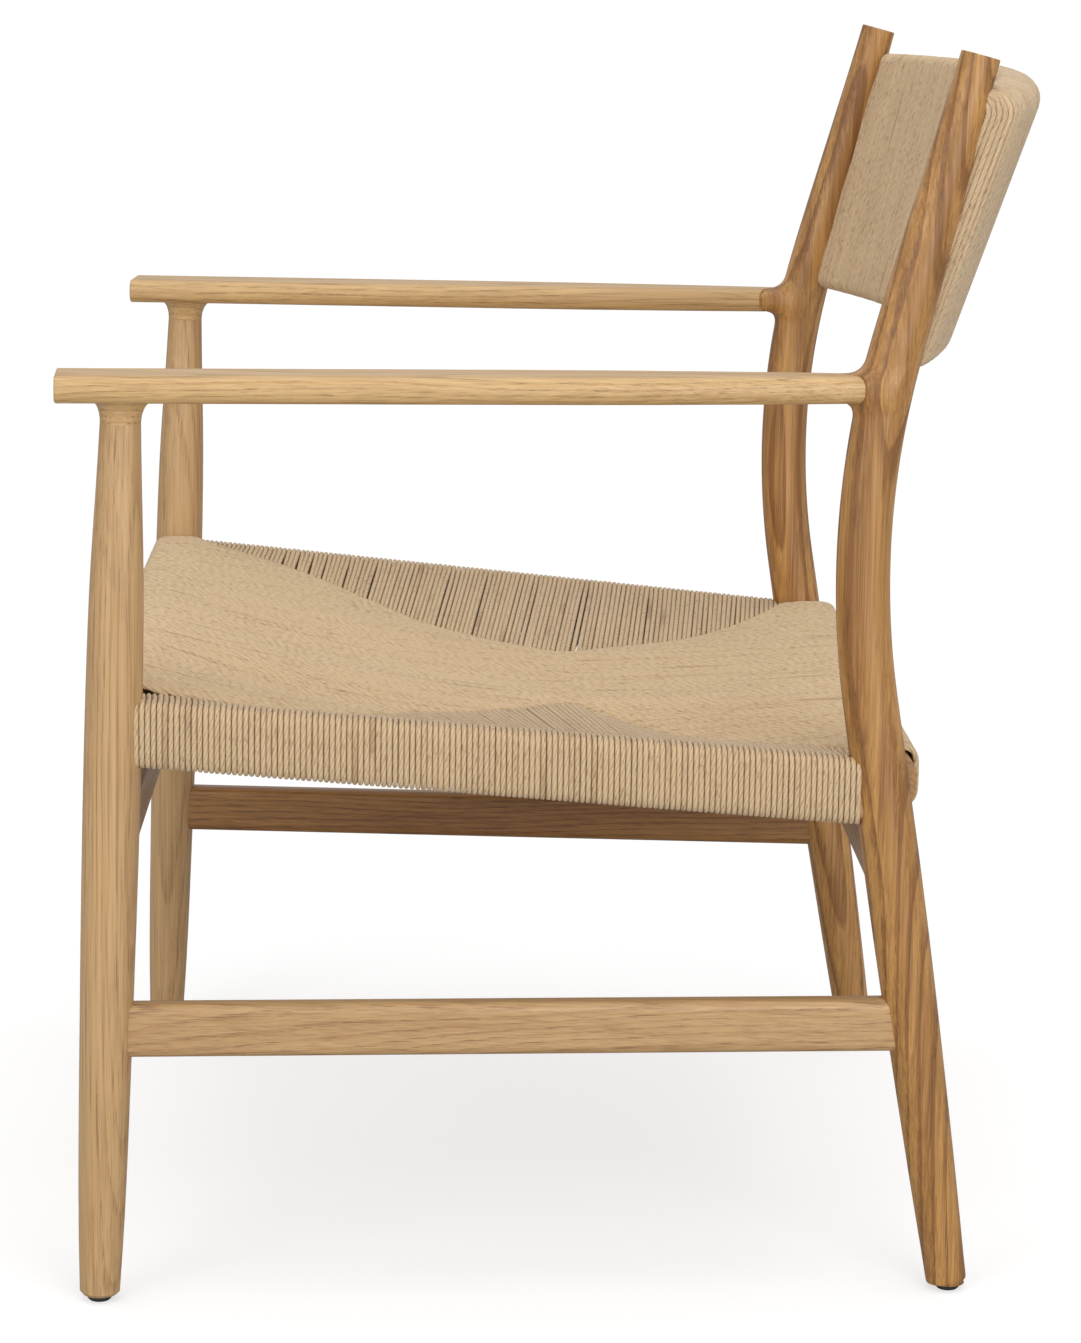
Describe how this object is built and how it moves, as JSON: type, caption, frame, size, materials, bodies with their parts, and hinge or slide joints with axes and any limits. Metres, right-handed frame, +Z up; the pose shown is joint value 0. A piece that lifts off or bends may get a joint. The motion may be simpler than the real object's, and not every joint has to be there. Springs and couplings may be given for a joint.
{
  "type": "armchair",
  "caption": "Low oak lounge armchair with turned front legs, bent rear legs that run up as back posts, flat armrests, and a paper-cord seat and curved back.",
  "frame": {"origin": "centre of the chair's footprint box, on the floor", "axes": "+Z up, the chair faces -Y, +X is the sitter's left"},
  "size_m": [0.655, 0.6216, 0.7829],
  "materials": {
    "oak_legs": "clear satin oil on straight-grained oak, slightly browner than the armrests",
    "oak_arms": "clear satin oil on light oak",
    "oak_bars": "clear satin oil on oak",
    "dowel_wood": "plain beech dowel, glued",
    "paper_cord": "unbleached twisted paper cord, matt with a slight wax sheen",
    "glide_plastic": "black nylon",
    "nail_steel": "plain wire nail"
  },
  "bodies": {
    "root": {"front_leg_left": "oak_legs", "front_leg_right": "oak_legs", "rear_leg_left": "oak_legs", "rear_leg_right": "oak_legs", "armrest_left": "oak_arms", "armrest_right": "oak_arms", "side_stretcher_left": "oak_bars", "side_stretcher_right": "oak_bars", "front_cross_stretcher": "oak_bars", "rear_cross_stretcher": "oak_bars", "seat_rail_front": "oak_bars", "seat_rail_rear": "oak_bars", "seat_rail_left": "oak_bars", "seat_rail_right": "oak_bars", "backrest_top_rail": "oak_bars", "backrest_bottom_rail": "oak_bars", "armrest_dowels": "dowel_wood", "seat_weave": "paper_cord", "backrest_weave": "paper_cord", "foot_glides": "glide_plastic", "glide_nails": "nail_steel", "cord_nails": "nail_steel"}
  },
  "joints": []
}
